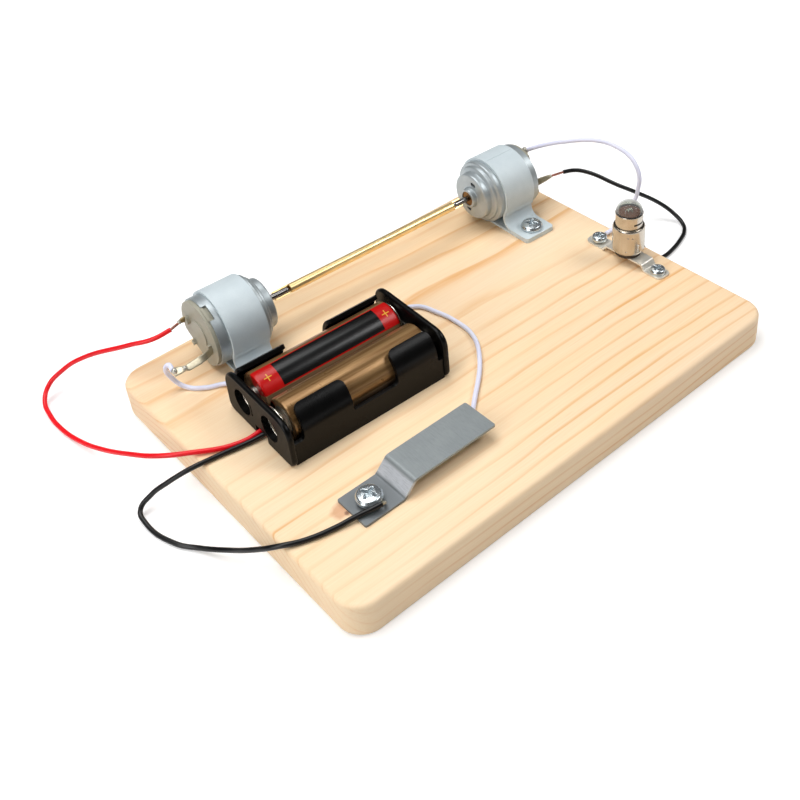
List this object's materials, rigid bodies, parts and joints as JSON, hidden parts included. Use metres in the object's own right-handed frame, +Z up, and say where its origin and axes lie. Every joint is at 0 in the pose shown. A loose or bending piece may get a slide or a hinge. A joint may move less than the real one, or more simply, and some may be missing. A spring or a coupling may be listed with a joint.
{
  "type": "demonstration motor generator",
  "caption": "Wooden board with a battery holder, spring switch and motor that turns a generator through a brass tube and lights a screw-in lamp.",
  "frame": {"origin": "centre of the board's underside", "axes": "+X along the board's length and the drive shaft, from the driving motor to the generator; +Y from the switch towards the motors; +Z up"},
  "size_m": [0.2242, 0.1471, 0.0396],
  "materials": {
    "pine": "clear-finished pine with long grain",
    "zinc_sheet": "dull galvanised sheet",
    "screw_zinc": "bright zinc plating",
    "can_zinc": "satin zinc plating",
    "cap_plastic": "moulded beige-grey plastic",
    "bronze": "sintered bronze",
    "ferrite": "ferrite magnet",
    "copper": "copper",
    "tinned_strip": "tinned brass strip",
    "shaft_steel": "ground steel",
    "lamination": "stacked iron",
    "tube_brass": "drawn brass, slightly polished",
    "holder_plastic": "black moulded plastic",
    "spring_nickel": "nickel-plated spring wire",
    "cell_jacket": "glossy wrapped jacket with plain colour bands",
    "lever_zinc": "dull galvanised strip",
    "lamp_nickel": "nickel-plated strip",
    "fibre": "dark fibre",
    "socket_nickel": "nickel-plated brass",
    "bulb_clear": "clear glass",
    "vitrite": "black glass insulator",
    "solder": "dull solder",
    "filament_wire": "nickel wire",
    "red_pvc": "red insulation",
    "black_pvc": "black insulation",
    "white_pvc": "white insulation"
  },
  "bodies": {
    "root": {"base_board": "pine", "motor_clamp": "zinc_sheet", "generator_clamp": "zinc_sheet", "clamp_screws": "screw_zinc", "motor_can": "can_zinc", "motor_end_cap": "cap_plastic", "motor_front_bush": "bronze", "motor_rear_bush": "bronze", "motor_magnets": "ferrite", "motor_brushes": "copper", "motor_terminals": "tinned_strip", "generator_can": "can_zinc", "generator_end_cap": "cap_plastic", "generator_front_bush": "bronze", "generator_rear_bush": "bronze", "generator_magnets": "ferrite", "generator_brushes": "copper", "generator_terminals": "tinned_strip", "battery_holder": "holder_plastic", "battery_springs": "spring_nickel", "battery_spirals": "spring_nickel", "battery_tails": "spring_nickel", "series_link": "spring_nickel", "back_battery": "cell_jacket", "front_battery": "cell_jacket", "switch_foot": "lever_zinc", "switch_screw": "screw_zinc", "contact_screw": "screw_zinc", "lamp_bracket": "lamp_nickel", "lamp_disc": "fibre", "lamp_lower_washer": "fibre", "lamp_socket": "socket_nickel", "lamp_rivets": "lamp_nickel", "lamp_centre_contact": "tube_brass", "lamp_tag": "tube_brass", "lamp_screws": "screw_zinc", "bared_ends": "copper", "solder_joints": "solder", "red_wire": "red_pvc", "black_switch_wire": "black_pvc", "white_switch_wire": "white_pvc", "white_lamp_wire": "white_pvc", "black_lamp_wire": "black_pvc"},
    "rotor": {"motor_shaft": "shaft_steel", "motor_armature": "lamination", "motor_windings": "copper", "motor_commutator": "copper", "generator_shaft": "shaft_steel", "generator_armature": "lamination", "generator_windings": "copper", "generator_commutator": "copper", "drive_tube": "tube_brass"},
    "switch_lever": {"switch_arm": "lever_zinc"},
    "bulb_base": {"bulb_tip": "solder", "bulb_insulator": "vitrite"},
    "bulb": {"bulb_cap": "socket_nickel", "bulb_glass": "bulb_clear", "bulb_filament": "filament_wire"}
  },
  "joints": [
    {"name": "shaft_spin", "type": "hinge", "parent": "root", "child": "rotor", "pos_m": [0, 0.0447, 0.0246], "axis": [0.9994, -0.0349, 0], "continuous": true},
    {"name": "switch_press", "type": "hinge", "parent": "root", "child": "switch_lever", "pos_m": [-0.05084, -0.0357, 0.01297], "axis": [0, 1, 0], "range_deg": [0, 2.3], "stiffness_Nm_per_rad": 0.6},
    {"name": "bulb_lift", "type": "slide", "parent": "root", "child": "bulb_base", "axis": [0, 0, 1], "range_m": [0, 0.00907]},
    {"name": "bulb_turn", "type": "hinge", "parent": "bulb_base", "child": "bulb", "pos_m": [0.0753, -0.0109, 0.025], "axis": [0, 0, 1], "range_deg": [0, 1800]}
  ],
  "couplings": [
    {"joint": "bulb_turn", "follows": "bulb_lift", "rad_per_m": 3463.7}
  ]
}
